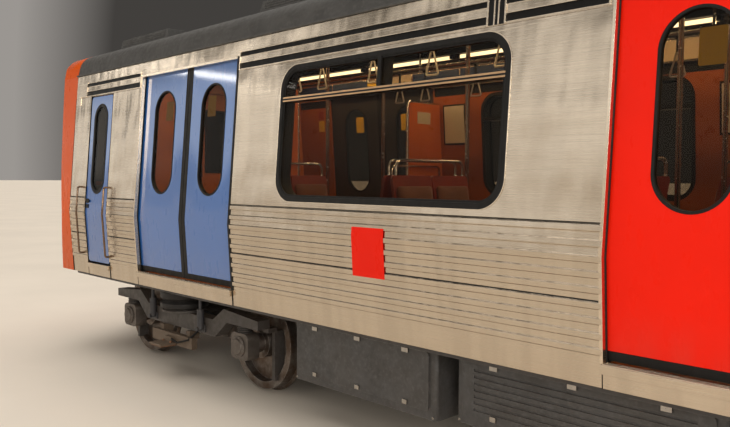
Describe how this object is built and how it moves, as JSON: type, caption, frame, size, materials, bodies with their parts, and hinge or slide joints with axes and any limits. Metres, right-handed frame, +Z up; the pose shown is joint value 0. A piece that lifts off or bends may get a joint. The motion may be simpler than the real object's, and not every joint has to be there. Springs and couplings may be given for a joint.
{
  "type": "metro motor car",
  "caption": "Stainless metro motor car with one driving cab, sliding saloon doors and powered bogies.",
  "frame": {"origin": "middle of the box at its bottom: on the car's centre line, at the level of the wheel flange tips, 28 mm below rail level", "axes": "+X along the car from the cab to the gangway end, +Y to the car's right side, +Z up"},
  "size_m": [16.68, 2.909, 3.551],
  "materials": {
    "stainless": "horizontally brushed, warm grey",
    "mask_paint": "gloss orange-red",
    "door_blue": "gloss bright blue",
    "door_orange": "gloss orange-red",
    "black_rubber": "satin black",
    "glass": "clear, slightly grey",
    "lamp_lens": "clear ribbed lens",
    "roof_paint": "matt grey",
    "frame_paint": "dark grey, dusty",
    "lining": "cream laminate",
    "partition": "grey-beige laminate",
    "floor_cover": "studded grey rubber",
    "seat_shell": "red-brown moulding",
    "seat_pad": "brown cloth",
    "screen": "orange-brown laminate",
    "rail_steel": "polished stainless",
    "light_cover": "milky diffuser",
    "desk": "dark grained moulding",
    "case_paint": "dark grey paint",
    "bogie_paint": "dark grey paint, brake dust",
    "cast_steel": "cast, brown dust",
    "wheel_steel": "turned steel, bright tread",
    "spring_rubber": "black bellows",
    "motor_paint": "dark enamel",
    "handrail": "satin brown steel",
    "beam_board": "grey-brown insulating board"
  },
  "bodies": {
    "car_body": {"underframe": "frame_paint", "floor": "floor_cover", "roof": "roof_paint", "side_panels": "stainless", "linings": "lining", "cantrails": "stainless", "window_frames": "black_rubber", "side_windows": "glass", "door_sills": "stainless", "cab_front": "mask_paint", "windscreen": "glass", "lamps": "lamp_lens", "cab_partition": "partition", "rear_end": "stainless", "driver_desk": "desk", "seat_shells": "seat_shell", "seat_pads": "seat_pad", "door_screens": "screen", "grab_rails": "rail_steel", "seat_hoops": "rail_steel", "cab_handrails": "handrail", "ceiling_lights": "light_cover", "equipment_cases": "case_paint", "air_tanks": "case_paint"},
    "bogie_front": {"bogie_frame_front": "bogie_paint", "axle_boxes_front": "cast_steel", "springs_front": "spring_rubber", "motors_front": "motor_paint", "tread_brakes_front": "cast_steel", "collectors_front": "beam_board"},
    "wheelset_front_fore": {"wheelset_front_fore": "wheel_steel"},
    "wheelset_front_aft": {"wheelset_front_aft": "wheel_steel"},
    "bogie_rear": {"bogie_frame_rear": "bogie_paint", "axle_boxes_rear": "cast_steel", "springs_rear": "spring_rubber", "motors_rear": "motor_paint", "tread_brakes_rear": "cast_steel", "collectors_rear": "beam_board"},
    "wheelset_rear_fore": {"wheelset_rear_fore": "wheel_steel"},
    "wheelset_rear_aft": {"wheelset_rear_aft": "wheel_steel"},
    "door_left_front_fore": {"door_left_front_fore": "door_blue"},
    "door_left_front_aft": {"door_left_front_aft": "door_blue"},
    "door_left_middle_fore": {"door_left_middle_fore": "door_orange"},
    "door_left_middle_aft": {"door_left_middle_aft": "door_orange"},
    "door_left_rear_fore": {"door_left_rear_fore": "door_orange"},
    "door_left_rear_aft": {"door_left_rear_aft": "door_orange"},
    "cab_door_left": {"cab_door_left": "door_blue"},
    "door_right_front_fore": {"door_right_front_fore": "door_blue"},
    "door_right_front_aft": {"door_right_front_aft": "door_blue"},
    "door_right_middle_fore": {"door_right_middle_fore": "door_orange"},
    "door_right_middle_aft": {"door_right_middle_aft": "door_orange"},
    "door_right_rear_fore": {"door_right_rear_fore": "door_orange"},
    "door_right_rear_aft": {"door_right_rear_aft": "door_orange"},
    "cab_door_right": {"cab_door_right": "door_blue"},
    "partition_door": {"partition_door": "partition"},
    "end_door": {"end_door": "stainless"},
    "front_coupler": {"front_coupler": "cast_steel"},
    "rear_coupler": {"rear_coupler": "cast_steel"}
  },
  "joints": [
    {"name": "bogie_front_yaw", "type": "hinge", "parent": "car_body", "child": "bogie_front", "pos_m": [-5.55, 0, 0.768], "axis": [0, 0, 1], "range_deg": [-5, 5]},
    {"name": "wheelset_front_fore_spin", "type": "hinge", "parent": "bogie_front", "child": "wheelset_front_fore", "pos_m": [-6.6, 0, 0.458], "axis": [0, 1, 0], "continuous": true},
    {"name": "wheelset_front_aft_spin", "type": "hinge", "parent": "bogie_front", "child": "wheelset_front_aft", "pos_m": [-4.5, 0, 0.458], "axis": [0, 1, 0], "continuous": true},
    {"name": "bogie_rear_yaw", "type": "hinge", "parent": "car_body", "child": "bogie_rear", "pos_m": [5.55, 0, 0.768], "axis": [0, 0, 1], "range_deg": [-5, 5]},
    {"name": "wheelset_rear_fore_spin", "type": "hinge", "parent": "bogie_rear", "child": "wheelset_rear_fore", "pos_m": [4.5, 0, 0.458], "axis": [0, 1, 0], "continuous": true},
    {"name": "wheelset_rear_aft_spin", "type": "hinge", "parent": "bogie_rear", "child": "wheelset_rear_aft", "pos_m": [6.6, 0, 0.458], "axis": [0, 1, 0], "continuous": true},
    {"name": "door_left_front_fore_slide", "type": "slide", "parent": "car_body", "child": "door_left_front_fore", "axis": [-1, 0, 0], "range_m": [0, 0.59]},
    {"name": "door_left_front_aft_slide", "type": "slide", "parent": "car_body", "child": "door_left_front_aft", "axis": [1, 0, 0], "range_m": [0, 0.59]},
    {"name": "door_left_middle_fore_slide", "type": "slide", "parent": "car_body", "child": "door_left_middle_fore", "axis": [-1, 0, 0], "range_m": [0, 0.59]},
    {"name": "door_left_middle_aft_slide", "type": "slide", "parent": "car_body", "child": "door_left_middle_aft", "axis": [1, 0, 0], "range_m": [0, 0.59]},
    {"name": "door_left_rear_fore_slide", "type": "slide", "parent": "car_body", "child": "door_left_rear_fore", "axis": [-1, 0, 0], "range_m": [0, 0.59]},
    {"name": "door_left_rear_aft_slide", "type": "slide", "parent": "car_body", "child": "door_left_rear_aft", "axis": [1, 0, 0], "range_m": [0, 0.59]},
    {"name": "cab_door_left_hinge", "type": "hinge", "parent": "car_body", "child": "cab_door_left", "pos_m": [-6.458, -1.25, 1.928], "axis": [0, 0, -1], "range_deg": [0, 85]},
    {"name": "door_right_front_fore_slide", "type": "slide", "parent": "car_body", "child": "door_right_front_fore", "axis": [-1, 0, 0], "range_m": [0, 0.59]},
    {"name": "door_right_front_aft_slide", "type": "slide", "parent": "car_body", "child": "door_right_front_aft", "axis": [1, 0, 0], "range_m": [0, 0.59]},
    {"name": "door_right_middle_fore_slide", "type": "slide", "parent": "car_body", "child": "door_right_middle_fore", "axis": [-1, 0, 0], "range_m": [0, 0.59]},
    {"name": "door_right_middle_aft_slide", "type": "slide", "parent": "car_body", "child": "door_right_middle_aft", "axis": [1, 0, 0], "range_m": [0, 0.59]},
    {"name": "door_right_rear_fore_slide", "type": "slide", "parent": "car_body", "child": "door_right_rear_fore", "axis": [-1, 0, 0], "range_m": [0, 0.59]},
    {"name": "door_right_rear_aft_slide", "type": "slide", "parent": "car_body", "child": "door_right_rear_aft", "axis": [1, 0, 0], "range_m": [0, 0.59]},
    {"name": "cab_door_right_hinge", "type": "hinge", "parent": "car_body", "child": "cab_door_right", "pos_m": [-6.458, 1.25, 1.928], "axis": [0, 0, 1], "range_deg": [0, 85]},
    {"name": "partition_door_hinge", "type": "hinge", "parent": "car_body", "child": "partition_door", "pos_m": [-6.408, 0.33, 1.978], "axis": [0, 0, 1], "range_deg": [0, 90]},
    {"name": "end_door_hinge", "type": "hinge", "parent": "car_body", "child": "end_door", "pos_m": [7.93, 0.33, 1.978], "axis": [0, 0, -1], "range_deg": [0, 88]},
    {"name": "front_coupler_swing", "type": "hinge", "parent": "car_body", "child": "front_coupler", "pos_m": [-7.33, 0, 0.688], "axis": [0, 0, 1], "range_deg": [-15, 15]},
    {"name": "rear_coupler_swing", "type": "hinge", "parent": "car_body", "child": "rear_coupler", "pos_m": [7.33, 0, 0.688], "axis": [0, 0, 1], "range_deg": [-15, 15]}
  ],
  "couplings": [
    {"joint": "door_left_front_aft_slide", "follows": "door_left_front_fore_slide", "ratio": 1},
    {"joint": "door_left_middle_aft_slide", "follows": "door_left_middle_fore_slide", "ratio": 1},
    {"joint": "door_left_rear_aft_slide", "follows": "door_left_rear_fore_slide", "ratio": 1},
    {"joint": "door_right_front_aft_slide", "follows": "door_right_front_fore_slide", "ratio": 1},
    {"joint": "door_right_middle_aft_slide", "follows": "door_right_middle_fore_slide", "ratio": 1},
    {"joint": "door_right_rear_aft_slide", "follows": "door_right_rear_fore_slide", "ratio": 1}
  ]
}
